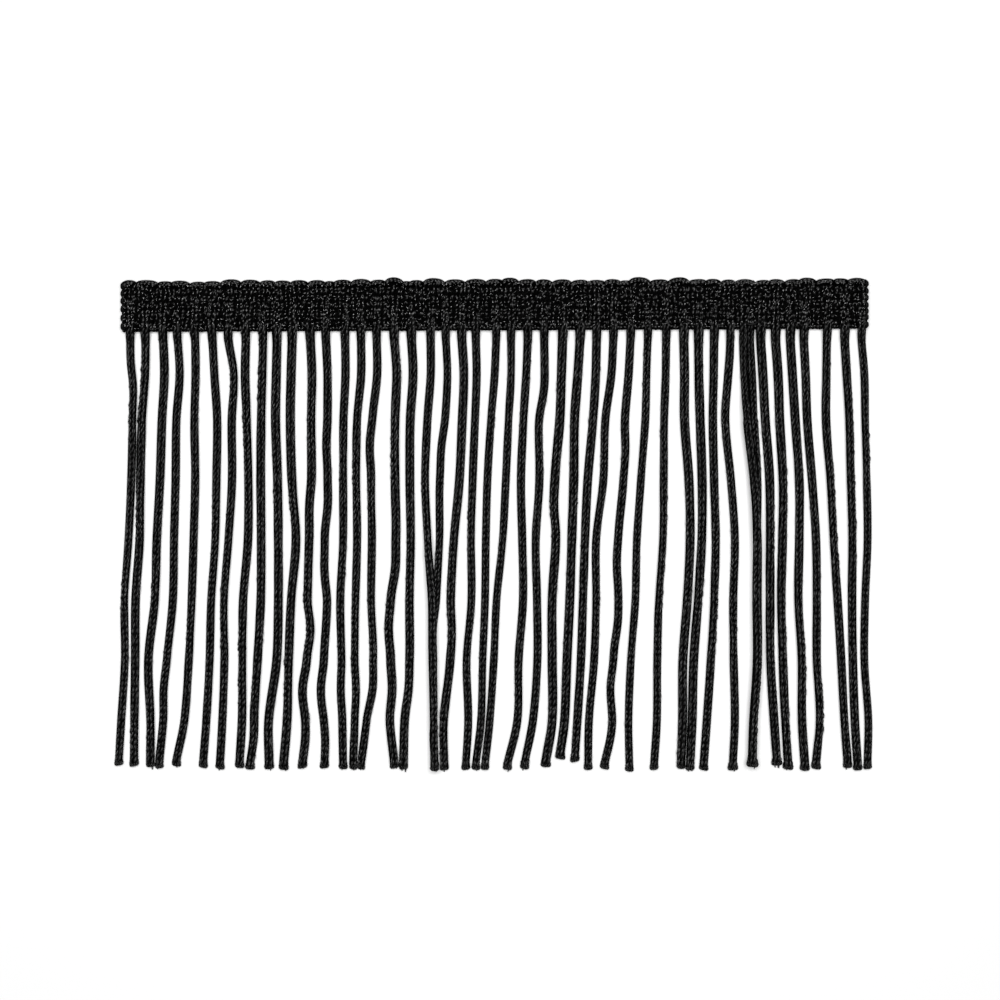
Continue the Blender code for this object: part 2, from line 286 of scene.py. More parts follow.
def knitMaterial(name, look):
    # Tight knitting as it shows between raised bits: short leaning ridges, their tops painted lighter as
    # highlight and the hollows darker as painted shade
    material, surface = newMaterial(name)
    tree = material.node_tree
    surface.inputs["Specular IOR Level"].default_value = look["gloss"]
    surface.inputs["Roughness"].default_value = look["dull"]
    place = addNode(tree, "ShaderNodeTexCoord")
    leaning = addNode(tree, "ShaderNodeMapping", {
        "Vector": place.outputs["Object"], "Rotation": (0.0, 0.0, -look["lean"]),
        "Scale": (1.0, look["stretch"], 1.0),
    }, vector_type="TEXTURE")
    ridges = addNode(tree, "ShaderNodeTexNoise", {
        "Vector": leaning.outputs["Vector"], "Scale": look["ridgeScale"], "Detail": 1.0,
    })
    bump = addNode(tree, "ShaderNodeBump", {
        "Strength": look["bump"], "Distance": look["ridgeHeight"], "Height": ridges.outputs["Fac"],
    })
    tree.links.new(bump.outputs["Normal"], surface.inputs["Normal"])
    # Base colour follows the ridge height: painted highlight on the tops, painted shade between them
    tree.links.new(dyeAndShadeRamp(tree, ridges.outputs["Fac"], look), surface.inputs["Base Color"])
    return material


cordYarn = {
    "sleek": 0.36, "dull": 0.48, "gloss": 0.5, "ior": 1.5,
    "turns": 200.0, "plies": 8.0, "bump": 0.3, "plyHeight": 0.00002, "fibres": 1.2, "fibreScale": 4000.0,
    "dyeScale": 700.0, "patches": 0.15, "toneStops": (0.35, 0.65), "dark": 0.0003, "light": 0.003,
}
headingYarn = {
    "sleek": 0.19, "dull": 0.5, "gloss": 0.66, "ior": 1.7,
    "turns": 250.0, "plies": 7.0, "bump": 0.3, "plyHeight": 0.00001, "fibres": 1.2, "fibreScale": 4000.0,
    "dyeScale": 900.0, "patches": 0.08, "toneStops": (0.35, 0.65), "dark": 0.0002, "light": 0.0028,
}
loopYarn = dict(headingYarn, sleek=0.36, dull=0.55, gloss=0.11, ior=1.5, patches=0.15, light=0.002)
# Core and ground: base colour lighter on ridge tops, a painted highlight
coreYarn = {
    "dull": 0.4, "gloss": 0.012, "lean": 0.2, "stretch": 3.0, "ridgeScale": 3200.0, "bump": 1.0,
    "ridgeHeight": 0.0006, "toneStops": (0.4, 0.6), "dark": 0.0003, "light": 0.003,
}
# The ground's greys are darker than the yarn's: painted shade between the stitches over it
shadedGroundYarn = dict(coreYarn, gloss=0.01, lean=0.4, stretch=1.5, ridgeScale=1800.0, dark=0.0001, light=0.0006)
# Darker greys and no gloss: painted shade on the inner loop yarns, the lower edge and every other big stitch
paintedShadeYarn = dict(cordYarn, sleek=0.8, dull=0.9, gloss=0.0, dark=0.0002, light=0.0008)
finishes = {
    "cord": yarnMaterial("cordYarn", cordYarn),
    "core": knitMaterial("coreYarn", coreYarn),
    "heading": yarnMaterial("headingYarn", headingYarn),
    "loop": yarnMaterial("loopYarn", loopYarn),
    "paintedShade": yarnMaterial("paintedShadeYarn", paintedShadeYarn),
    "ground": knitMaterial("shadedGroundYarn", shadedGroundYarn),
}
print("finishes ready")

# Cords: lengths in mm, fullness as a share of a cord's width, roll in radians
cordShape = {
    "height": 0.92,
    "emerges": 0.6,
    "rootHeight": 2.05,
    "level": 4.0,
    "gap": 0.14,
    "lapGap": 0.15,
    "coreWidth": 1.055,
    "coreHeight": 0.66,
    "flare": 0.11,
    "flareDepth": 3.5,
    "edgeFades": 4.0,
    "upperFuller": 0.025,
    "upperEnds": (25.0, 60.0),
    "roll": 0.4,
    "rollPitch": 11.0,
    "rollStops": 12,
    "step": 1.25,
    "topPitch": 1.45,
    "lowPitch": 2.0,
    "endWidth": 1.17,
    "endRise": 0.9,
    "endTrim": 0.9,
    "endGap": 0.05,
    "endHeight": 0.8,
    "endTallest": 1.0,
    "endRests": 0.95,
    "endAskew": 0.22,
    "endSides": 12,
    "swayStarts": 2.0,
    "swayStops": 1.5,
}
# How the bits of a cord vary: size, slip in metres and shake in radians, and how the knob is covered
cordKnit = {
    "smallest": (0.8, 0.85, 0.7),
    "largest": (1.12, 1.12, 1.2),
    "slip": (0.00005, 0.00003, 0.0003),
    "shake": (0.1, 0.08, 0.3),
    "knobSpacing": 0.00036,
    "knobDensity": 1.2e7,
    "knobAims": ((-0.6, -1.0, -0.3), (0.2, -1.0, 0.3)),
    "coreSides": 10,
    "looseness": (0.7, 1.2),
}
# A cord's melted end: height above its lowest point and fullness, ring by ring
endRings = ((1.9, 0.82), (1.4, 0.88), (0.95, 0.98), (0.55, 1.0), (0.28, 0.93), (0.12, 0.77), (0.03, 0.5))
# Knitted bits of a cord: half width and height, length, sides, then (place along, rise, fullness)
bitShapes = {
    "topBit": (0.19, 0.22, 2.35, 4,
               ((-1, -0.42, 0.5), (-0.4, -0.03, 0.95), (0.4, 0.02, 1.0), (1, -0.4, 0.5))),
    "lowBit": (0.4, 0.24, 3.6, 5, ((-1, -0.3, 0.5), (0.3, 0.04, 1.0), (1, -0.3, 0.45))),
    "endBit": (0.17, 0.13, 0.75, 4, ((-1, -0.1, 0.5), (0.0, 0.0, 1.0), (1, -0.1, 0.6))),
}
# Columns of bits round a cord: bit, sideways and upwards from its middle, lean, turn, start along it
cordColumns = (
    ("Top Bit", -0.64, 0.6, 0.13, -0.15, 0.0),
    ("Top Bit", -0.38, 0.67, 0.26, -0.05, 0.5),
    ("Top Bit", 0.37, 0.67, 0.26, 0.05, 0.25),
    ("Top Bit", 0.62, 0.6, 0.13, 0.15, 0.75),
    ("Low Bit", -0.58, -0.3, 0.1, -2.1, 0.3),
    ("Low Bit", 0.58, -0.3, 0.1, 2.1, 0.8),
)
swayDepths = (11.25, 22.5, 37.5, 52.5, 67.5, 82.5, 97.5)
# root, sway at each depth and at the tip, drop below the edge, width
cordRows = (
    (2.4, (0.2, 0.4, 0.1, -0.6, -1.6, -1.5, -2.4, -3.0), 108.9, 1.9),
    (6.1, (-0.1, -0.9, -1.3, -1.5, -2.5, -2.6, -2.8, -2.9), 109.1, 2.05),
    (10.5, (0.3, -0.3, -0.8, -1.6, -2.1, -3.7, -3.2, -3.2), 109.3, 2.05),
    (14.1, (0.5, -0.3, -0.5, -0.9, -1.2, -2.7, -3.6, -4.6), 109.6, 1.95),
    (18.5, (0.1, -0.2, 0.0, -0.4, -0.9, -1.6, -2.7, -4.7), 109.1, 1.95),
    (22.8, (0.5, 1.2, 1.0, 0.7, -0.3, -0.7, -1.5, -2.3), 109.5, 1.95),
    (27.0, (1.2, 0.65, 0.7, -0.2, -1.3, -1.2, -1.7, -2.3), 109.8, 1.95),
    (31.2, (-0.2, 0.2, 0.6, 0.5, -0.7, -0.9, -1.0, -1.6), 109.5, 2.05),
    (35.5, (-0.2, -0.5, -0.6, -0.5, -0.6, -1.4, -2.4, -3.3), 109.9, 2.1),
    (39.0, (-0.2, -0.4, 0.1, 0.3, 0.3, -0.1, -2.1, -2.0), 109.8, 2.15),
    (42.8, (-0.3, -0.5, -0.1, 0.9, -0.3, -0.9, -1.3, -2.2), 110.0, 2.15),
    (47.3, (0.4, 0.2, 0.3, -0.3, -0.7, -0.9, -1.4, -2.0), 109.6, 2.1),
    (51.2, (0.4, 0.4, 0.4, -0.3, 0.3, -0.5, -0.7, -0.4), 109.6, 2.0),
    (56.0, (0.1, -0.4, -0.5, -0.5, -1.2, -0.9, -0.7, -0.5), 109.8, 1.95),
    (60.0, (0.0, -1.0, -1.2, -1.0, -1.4, -1.6, -1.6, -2.0), 109.9, 1.95),
    (63.9, (0.1, -1.1, -1.4, -1.2, -1.4, -0.9, -2.5, -3.9), 109.9, 1.95),
    (68.3, (0.6, 0.2, 0.2, 0.4, -0.9, -0.9, -1.1, 0.0), 109.6, 2.15),
    (72.6, (0.4, -0.3, -0.4, -0.2, -0.5, -0.5, -1.7, -2.0), 109.9, 2.1),
    (77.4, (0.0, -0.8, -1.4, -0.7, 0.3, 0.5, 0.8, 1.0), 110.1, 1.95),
    (81.2, (0.4, -0.2, -1.5, -1.6, -2.4, -3.1, -2.9, -2.7), 109.4, 1.85),
    (85.2, (0.5, 0.1, -0.6, -2.0, -2.8, -2.9, -4.5, -4.4), 110.1, 2.1),
    (88.7, (0.2, -0.2, -0.8, -1.2, -1.1, -2.3, -1.9, -2.5), 110.0, 1.9),
    (93.8, (-0.4, -1.3, -2.2, -2.6, -2.8, -3.4, -3.8, -5.1), 110.0, 1.85),
    (97.5, (0.0, -0.6, -1.3, -2.1, -3.6, -4.3, -5.3, -6.5), 110.0, 1.85),
    (101.7, (-0.4, -1.1, -1.7, -1.4, -1.2, -2.3, -2.6, -5.1), 110.0, 1.95),
    (105.8, (0.0, -1.3, -1.2, -2.1, -1.8, -1.7, -2.8, -4.9), 109.8, 1.95),
    (110.4, (-0.3, -0.7, -1.9, -1.7, -2.6, -2.6, -2.6, -4.2), 109.3, 2.2),
    (114.8, (-0.6, -1.4, -1.6, -2.1, -2.6, -3.3, -3.9, -5.0), 107.3, 2.2),
    (118.9, (-0.2, -0.9, -2.2, -2.9, -3.4, -3.9, -4.8, -5.4), 108.0, 2.05),
    (123.1, (-0.5, -2.0, -2.5, -4.3, -4.3, -4.8, -6.1, -6.3), 110.0, 1.9),
    (127.4, (-0.5, -1.4, -1.8, -3.1, -3.1, -4.3, -4.7, -6.5), 109.8, 1.95),
    (131.7, (-0.3, -0.6, -1.7, -2.7, -3.1, -4.2, -4.8, -4.6), 110.4, 1.85),
    (136.3, (-0.1, -0.5, -0.6, -0.8, -1.8, -2.2, -2.3, -3.0), 110.0, 1.9),
    (140.7, (0.2, 0.2, 1.3, 1.6, 0.9, -0.2, -0.3, -0.7), 109.7, 2.15),
    (144.4, (0.1, 0.4, 0.9, 0.8, -0.1, -1.2, -1.6, -2.1), 110.1, 2.15),
    (148.3, (-0.1, -0.3, 0.0, 0.4, 0.0, -0.8, -1.8, -2.6), 110.1, 2.0),
    (152.2, (-0.4, -1.1, 0.3, 1.3, 0.9, 1.0, 1.3, 0.8), 110.1, 1.95),
    (155.4, (0.4, 1.0, 2.7, 3.5, 3.5, 3.6, 2.6, 2.3), 109.1, 2.1),
    (157.3, (0.5, 1.0, 1.8, 1.7, 1.6, 1.7, 0.8, 0.5), 108.0, 2.0),
    (159.9, (0.6, 1.2, 2.3, 2.4, 2.4, 2.5, 3.4, 4.1), 108.9, 2.15),
    (163.6, (0.7, 1.1, 1.9, 1.8, 1.5, 1.9, 2.5, 3.2), 109.9, 2.15),
    (167.3, (0.6, 1.3, 2.3, 2.3, 2.1, 2.9, 3.0, 3.7), 110.2, 2.1),
    (170.7, (0.5, 0.9, 2.1, 3.1, 3.3, 3.3, 4.0, 3.1), 109.8, 2.0),
    (176.5, (-0.1, -0.2, 0.9, 1.7, 2.7, 3.6, 4.4, 5.2), 109.5, 2.0),
    (180.9, (0.6, 1.2, 1.6, 2.0, 1.9, 2.1, 2.6, 3.3), 110.1, 2.05),
    (185.1, (0.8, 1.0, 1.4, 1.6, 1.0, 0.8, 1.8, 1.6), 109.8, 1.85),
)
bendReach = 8.0
# cord, depth, sideways shift
bendRows = (
    (0, 6, -0.2), (0, 15, 0.3), (3, 90, -0.35), (6, 4, -0.25), (8, 102, 0.4), (11, 44, -0.3),
    (11, 75, 0.85), (11, 90, -0.85), (11, 102, 0.4), (12, 29, -0.3), (12, 44, 0.35), (12, 61, -0.4),
    (12, 90, -0.6), (12, 102, 0.4), (13, 90, -0.3), (14, 90, 0.3), (15, 29, -0.4), (15, 90, 0.5),
    (16, 60, 0.45), (16, 75, -0.45), (16, 90, 0.55), (17, 90, 0.3), (19, 29, -0.3), (19, 75, -0.4),
    (19, 102, -0.35), (20, 75, 0.3), (25, 16, 0.35), (26, 44, -0.3), (30, 30, 0.3), (30, 59, -0.3),
    (30, 73, 0.3), (30, 90, -0.6), (30, 102, 0.3), (36, 5, 0.2),
)
# Cords whose end is a larger knot, and its width
knotWidths = {36: 2.6, 37: 3.1, 39: 2.9, 40: 2.9, 41: 2.5, 42: 2.5}
# over, under, where the climb starts, where it is full
laps = ((18, 19, 45.0, 60.0), (37, 38, 10.0, 22.5))


def smoothCurve(stops, values, at):
    if at <= stops[0]:
        return values[0]
    if at >= stops[-1]:
        return values[-1]
    last = len(stops) - 1

    def slope(i):
        before, after = max(i - 1, 0), min(i + 1, last)
        return (values[after] - values[before]) / (stops[after] - stops[before])

    i = max(k for k in range(last) if stops[k] <= at)
    span = stops[i + 1] - stops[i]
    t = (at - stops[i]) / span
    return (values[i] * (1 + 2 * t) * (1 - t) ** 2 + values[i + 1] * t * t * (3 - 2 * t)
            + slope(i) * t * (1 - t) ** 2 * span + slope(i + 1) * t * t * (t - 1) * span)


def cordCentre(index, depth):
    root, sway, drop, width = cordRows[index]
    stops = (cordShape["swayStarts"], *swayDepths, drop - cordShape["swayStops"])
    x = root + smoothCurve(stops, (0.0, *sway), depth)
    for cord, at, shift in bendRows:
        off = abs(depth - at) / bendReach
        if cord == index and off < 1:
            x += shift * (1 + math.cos(math.pi * off)) / 2
    return x


def cordRoom(index, depth, width, gap):
    # Half of that width, or less where the next cord leaves no room for it
    half = width / 2
    for other in (index - 1, index + 1):
        lapped = any({over, under} == {index, other} and depth > full for over, under, start, full in laps)
        if 0 <= other < len(cordRows) and not lapped:
            apart = abs(cordCentre(other, depth) - cordCentre(index, depth))
            half = min(half, (apart - gap) / 2)
    return half


def cordFoot(index, depth):
    foot = 0.0
    for over, under, start, full in laps:
        if over == index:
            step = cordRows[under][3] * cordShape["height"] + cordShape["lapGap"]
            foot = step * ease(start, full, depth)
    return foot


def bitMesh(name):
    # One knitted bit of a cord, running down it: its upper end is tucked in, its lower end lies on top
    wide, tall, length, sides, stops = bitShapes[name]
    line = []
    for along, rise, full in stops:
        line.append((Vector((0, -rise, along * length / 2)) * mm, wide * full * mm, tall * full * mm))
    return tubeMesh(name, [line], sides, up=(0, 1, 0))


def cordTree(name):
    # Knits columns of bits along a curve, round a dark core, and gathers more over the knob at its end
    tree = newTree(name, {
        "Top Bit": "Object", "Low Bit": "Object", "End Bit": "Object", "Knob": "Object",
        "Top Pitch": "Float", "Low Pitch": "Float", "End Trim": "Float", "Looseness": "Float",
        "Core Width": "Float", "Core Height": "Float", "Seed": "Int", "Yarn": "Material",
        "Core Yarn": "Material",
    })
    given = tree.nodes.new("NodeGroupInput").outputs
    flat = addNode(tree, "GeometryNodeSetCurveNormal", {"Curve": given["Geometry"]}, mode="Z_UP")
    knit = []
    radius = tree.nodes.new("GeometryNodeInputRadius")
    length = addNode(tree, "GeometryNodeCurveLength", {"Curve": flat.outputs["Curve"]})
    stop = addNode(tree, "ShaderNodeMath", {0: length.outputs["Length"], 1: given["End Trim"]},
                   operation="SUBTRACT")
    for order, (kind, side, rise, lean, turned, start) in enumerate(cordColumns):
        pitch = given[kind.split()[0] + " Pitch"]
        begin = addNode(tree, "ShaderNodeMath", {0: pitch, 1: start}, operation="MULTIPLY")
        trimmed = addNode(tree, "GeometryNodeTrimCurve", {
            "Curve": flat.outputs["Curve"], "Start_001": begin.outputs[0], "End_001": stop.outputs[0],
        }, mode="LENGTH")
        spots = addNode(tree, "GeometryNodeCurveToPoints",
                        {"Curve": trimmed.outputs["Curve"], "Length": pitch}, mode="LENGTH")
        bit = addNode(tree, "GeometryNodeObjectInfo", {"Object": given[kind]})
        seed = seedAfter(tree, given["Seed"], 10.0 * order)
        size = addNode(tree, "ShaderNodeVectorMath", {
            0: randomVector(tree, cordKnit["smallest"], cordKnit["largest"], seedAfter(tree, seed, 5.0)),
            "Scale": radius.outputs[0],
        }, operation="SCALE")
        placed = addNode(tree, "GeometryNodeInstanceOnPoints", {
            "Points": spots.outputs["Points"], "Instance": bit.outputs["Geometry"],
            "Rotation": spots.outputs["Rotation"], "Scale": size.outputs["Vector"],
        })
        slip = addNode(tree, "ShaderNodeVectorMath", {
            0: eitherWay(tree, cordKnit["slip"], seedAfter(tree, seed, 77.0)),
            1: (side * mm, -rise * mm, 0.0),
        }, operation="ADD")
        aside = addNode(tree, "GeometryNodeTranslateInstances", {
            "Instances": placed.outputs["Instances"],
            "Translation": slip.outputs["Vector"], "Local Space": True,
        })
        shake = eitherWay(tree, cordKnit["shake"], seed)
        roll = addNode(tree, "ShaderNodeVectorMath", {
            0: shake, 1: given["Looseness"], 2: (0.0, lean, turned),
        }, operation="MULTIPLY_ADD")
        rolled = addNode(tree, "FunctionNodeEulerToRotation", {0: roll.outputs["Vector"]})
        loose = addNode(tree, "GeometryNodeRotateInstances", {
            "Instances": aside.outputs["Instances"], "Rotation": rolled.outputs[0], "Local Space": True,
        })
        knit.append(loose.outputs["Instances"])

    # The knob: short bits that all run down to the middle of its end
    knob = addNode(tree, "GeometryNodeObjectInfo", {"Object": given["Knob"]})
    dots = addNode(tree, "GeometryNodeDistributePointsOnFaces", {
        "Mesh": knob.outputs["Geometry"], "Distance Min": cordKnit["knobSpacing"],
        "Density Max": cordKnit["knobDensity"], "Seed": given["Seed"],
    }, distribute_method="POISSON")
    inward = addNode(tree, "ShaderNodeVectorMath",
                     {0: dots.outputs["Normal"], "Scale": -1.0}, operation="SCALE")
    faced = addNode(tree, "FunctionNodeAlignRotationToVector",
                    {"Vector": inward.outputs["Vector"]}, axis="Y")
    downward = randomVector(tree, *cordKnit["knobAims"], given["Seed"])
    laid = addNode(tree, "FunctionNodeAlignRotationToVector",
                   {"Rotation": faced.outputs["Rotation"], "Vector": downward}, axis="Z", pivot_axis="Y")
    lump = addNode(tree, "GeometryNodeObjectInfo", {"Object": given["End Bit"]})
    lumps = addNode(tree, "GeometryNodeInstanceOnPoints", {
        "Points": dots.outputs["Points"], "Instance": lump.outputs["Geometry"],
        "Rotation": laid.outputs["Rotation"],
    })
    knit.append(lumps.outputs["Instances"])

    profile = addNode(tree, "GeometryNodeCurvePrimitiveCircle",
                      {"Resolution": cordKnit["coreSides"], "Radius": given["Core Width"]})
    squash = addNode(tree, "ShaderNodeCombineXYZ", {"X": 1.0, "Y": given["Core Height"], "Z": 1.0})
    oval = addNode(tree, "GeometryNodeTransform",
                   {"Geometry": profile.outputs["Curve"], "Scale": squash.outputs["Vector"]})
    core = addNode(tree, "GeometryNodeCurveToMesh", {
        "Curve": flat.outputs["Curve"], "Profile Curve": oval.outputs["Geometry"],
        "Scale": radius.outputs[0], "Fill Caps": True,
    })
    bits = dressed(tree, joined(tree, knit), given["Yarn"])
    # Core and knob take the core finish, its ridge tops painted lighter as highlight
    dark = dressed(tree, joined(tree, (core.outputs["Mesh"], knob.outputs["Geometry"])), given["Core Yarn"])
    end = tree.nodes.new("NodeGroupOutput")
    tree.links.new(joined(tree, (bits, dark)), end.inputs["Geometry"])
    return tree


def cordPath(index):
    # Points down a cord's middle from where it leaves the heading almost to its end, with its slow roll
    drop, width = cordRows[index][2:4]
    half = width * cordShape["height"] / 2
    roll = [draws.uniform(-cordShape["roll"], cordShape["roll"]) for k in range(cordShape["rollStops"])]
    stops = [cordShape["rollPitch"] * k for k in range(cordShape["rollStops"])]
    start = -cordShape["emerges"]
    reach = drop - cordShape["endRise"] - start
    count = round(reach / cordShape["step"])
    line = []
    for k in range(count + 1):
        depth = start + reach * k / count
        x = cordCentre(index, max(depth, 0.0))
        z = half + cordFoot(index, depth)
        z += (cordShape["rootHeight"] - half) * (1 - ease(start, cordShape["level"], depth))
        y = edgeAt(x) * (1 - ease(0.0, cordShape["edgeFades"], depth)) - depth
        fuller = (1 + cordShape["upperFuller"] * (1 - ease(*cordShape["upperEnds"], depth))
                  + cordShape["flare"] * (1 - ease(0.0, cordShape["flareDepth"], depth)))
        room = cordRoom(index, max(depth, 0.0), width * fuller, cordShape["gap"])
        line.append((spot(x, y, z), room, smoothCurve(stops, roll, depth)))
    return line


def knobMesh(index):
    # The melted end: a rounded lump, cut off a little askew and flat underneath
    drop, width = cordRows[index][2:4]
    half = cordRoom(index, drop, knotWidths.get(index, cordShape["endWidth"] * width), cordShape["endGap"])
    tall = min(half, cordShape["endTallest"]) * cordShape["endHeight"]
    middle = cordFoot(index, drop) + cordShape["endRests"] * tall
    rings = []
    for height, full in endRings:
        depth = drop - height
        rings.append((spot(cordCentre(index, depth), -depth, middle), half * full * mm, tall * full * mm))
    mesh = tubeMesh(f"knob_{index}", [rings], cordShape["endSides"])
    askew = draws.uniform(-cordShape["endAskew"], cordShape["endAskew"])
    base = spot(cordCentre(index, drop), -drop, middle)
    for corner in mesh.vertices:
        off = corner.co - base
        corner.co.y += askew * off.x * (1 - ease(0.0, endRings[0][0], off.y / mm))
    return mesh


topBit = addObject("topBit", bitMesh("topBit"))
lowBit = addObject("lowBit", bitMesh("lowBit"))
endBit = addObject("endBit", bitMesh("endBit"))
knitCord = cordTree("knitCord")

cords = []
for index in range(len(cordRows)):
    name = f"cord_{index + 1:02d}"
    knob = addObject("knob", knobMesh(index))
    cords.append(grown(pathObject(name, [cordPath(index)]), knitCord, {
        "Top Bit": topBit, "Low Bit": lowBit, "End Bit": endBit, "Knob": knob,
        "Top Pitch": cordShape["topPitch"] * mm, "Low Pitch": cordShape["lowPitch"] * mm,
        "End Trim": cordShape["endTrim"] * mm,
        "Looseness": draws.uniform(*cordKnit["looseness"]), "Core Width": cordShape["coreWidth"] * mm,
        "Core Height": cordShape["coreHeight"], "Seed": 7 * index,
        "Yarn": finishes["cord"], "Core Yarn": finishes["core"],
    }, name))
    dropObjects([knob])
dropObjects([topBit, lowBit, endBit])
print("cords knitted", len(cords))

# Heading: heights and lengths in mm, fullness as a share
headingShape = {
    "rows": (1.75, 3.95, 5.9, 7.75, 9.45, 11.2),
    "passes": ((0.0, 0.0, 1.0), (-1.0, 0.22, 0.9)),
    "rowStarts": (0.8, 1.3),
    "rowStops": 1.4,
    "rowStep": 0.7,
    "waves": ((0.09, 0.37, 1), (0.06, 1.13, 2)),
    "phases": (0, 6),
    "lowestRise": 0.7,
    "topDip": 0.45,
    "rowLift": 2.4,
    "flat": 0.7,
    "overCord": 0.1,
    "fullerOverCord": 0.06,
    "frontRows": ((0.02, 1.5), (-0.02, 0.85)),
    "backDrop": 0.3,
    "backLift": 0.52,
    "backSize": 1.9,
    "backStart": 1.9,
    "groundSection": ((0, 0, 0.55), (1, 0, 0.55), (1, 0, 0.95), (1, -0.7, 1.35), (1, -1.6, 2.1),
                      (0, 0.9, 2.1), (0, 0, 1.65)),
    "inset": 0.35,
    "groundBelow": 0.2,
}
# Loops: each yarn's depth inside, half width and height, then how the feet pass, sink and drop
loopShape = {
    "yarns": ((0.0, 0.16, 1.2), (0.38, 0.11, 1.5), (0.72, 0.11, 1.75), (1.1, 0.14, 2.05)),
    "curve": 2.2, "steps": 6, "inset": 0.3, "overlap": 0.3, "narrows": 0.35,
    "sinks": 0.6, "drops": 0.5, "passes": 0.12, "wobble": 0.05,
}
# Bumps at the left and the right end, the yarns that turn round each, and how one yarn bends
endShape = {
    "bumps": ((0.9, 3.0, 5.25, 7.25, 9.1, 11.0), (1.4, 3.25, 4.75, 6.25, 8.1, 9.75, 11.6)),
    "yarns": ((0.0, 1.38, 0.1), (0.0, 1.8, 0.0), (0.02, 2.22, -0.1), (0.75, 2.38, 0.05)),
    "bend": ((1.0, -1.0, 0.35), (0.1, -0.5, 0.1), (0.0, 0.0, 0.0), (0.1, 0.5, 0.1), (1.0, 1.0, 0.35)),
    "inset": 0.2, "turns": (0.55, -0.5), "halves": (0.98, 0.86), "yarn": 0.23,
}
# How the stitches of each set of rows vary: pitch and reach of the shift, turn and size
rowLook = {
    "pitch": 1.12, "shift": (0.28, 0.25, 0.25), "turn": (0.5, 0.52, 0.6), "face": (0.0, 0.0, -0.1),
    "smallest": (0.75, 0.75, 0.9), "largest": (1.2, 1.15, 1.1),
}
columnLook = {
    "pitch": 1.15, "shift": (0.15, 0.25, 0.15), "turn": (0.25, 0.3, 0.35), "face": (0.0, 0.0, -0.05),
    "smallest": (0.8, 0.85, 0.9), "largest": (1.15, 1.25, 1.1),
    "apart": 0.5, "lift": 2.5, "lows": (1.0, 1.5), "tops": (3.0, 8.5),
}
backLook = {
    "pitch": 1.9, "shift": (0.15, 0.1, 0.0), "turn": (0.1, 0.1, 0.25), "face": (0.0, math.pi, 0.2),
    "smallest": (1.1, 0.75, 0.8), "largest": (1.3, 0.9, 0.9),
}
frontLook = {
    "pitch": 0.95, "shift": (0.2, 0.06, 0.1), "turn": (0.2, 0.3, 0.3), "face": (math.pi / 2, 0.0, 0.0),
    "smallest": (0.9, 0.55, 0.7), "largest": (1.3, 0.75, 0.9),
}
# Loops along the top edge: the crown, then the foot that it shares with the next loop
loopCrowns = (
    (2.0, 12.5), (6.25, 12.5), (11.1, 12.2), (14.75, 12.35), (19.4, 12.1), (23.0, 12.25), (27.6, 12.7),
    (32.25, 12.6), (36.75, 12.45), (40.25, 12.4), (44.5, 12.5), (49.0, 12.5), (52.25, 12.25), (55.5, 12.6),
    (60.0, 12.8), (64.5, 12.6), (68.1, 13.2), (71.4, 12.25), (73.9, 12.5), (78.0, 13.0), (83.5, 12.7),
    (88.75, 12.8), (93.5, 12.8), (97.25, 13.1), (101.75, 12.75), (105.5, 12.7), (110.5, 12.7), (115.1, 12.6),
    (119.0, 12.55), (122.75, 12.75), (126.1, 12.45), (129.4, 13.25), (135.0, 12.7), (139.75, 13.2),
    (144.75, 12.75), (148.0, 12.8), (152.0, 12.65), (156.0, 12.75), (160.75, 12.55), (163.75, 12.75),
    (168.25, 12.75), (171.4, 13.1), (176.5, 12.9), (179.75, 12.95), (184.0, 13.05),
)
loopFeet = (
    (0.2, 11.6), (3.75, 12.0), (9.25, 11.95), (12.6, 12.0), (17.25, 11.7), (20.75, 11.9), (24.75, 11.9),
    (30.0, 12.0), (34.75, 12.0), (38.5, 12.0), (42.4, 12.0), (46.75, 11.9), (51.0, 12.0), (53.1, 12.05),
    (57.5, 12.1), (62.4, 12.15), (66.0, 12.2), (70.6, 12.05), (72.2, 12.15), (75.5, 12.1), (81.0, 12.1),
    (86.0, 12.1), (91.25, 12.2), (95.25, 12.5), (99.4, 12.25), (103.75, 12.1), (107.75, 12.1), (112.6, 12.1),
    (116.75, 12.1), (120.75, 12.1), (125.0, 12.2), (127.0, 12.4), (132.3, 12.3), (136.75, 12.25),
    (142.0, 12.35), (146.25, 12.35), (150.0, 12.1), (153.5, 12.05), (158.5, 12.0), (162.0, 12.3),
    (165.9, 12.1), (169.5, 12.5), (173.75, 12.4), (178.25, 12.6), (181.75, 12.55), (186.3, 12.4),
)
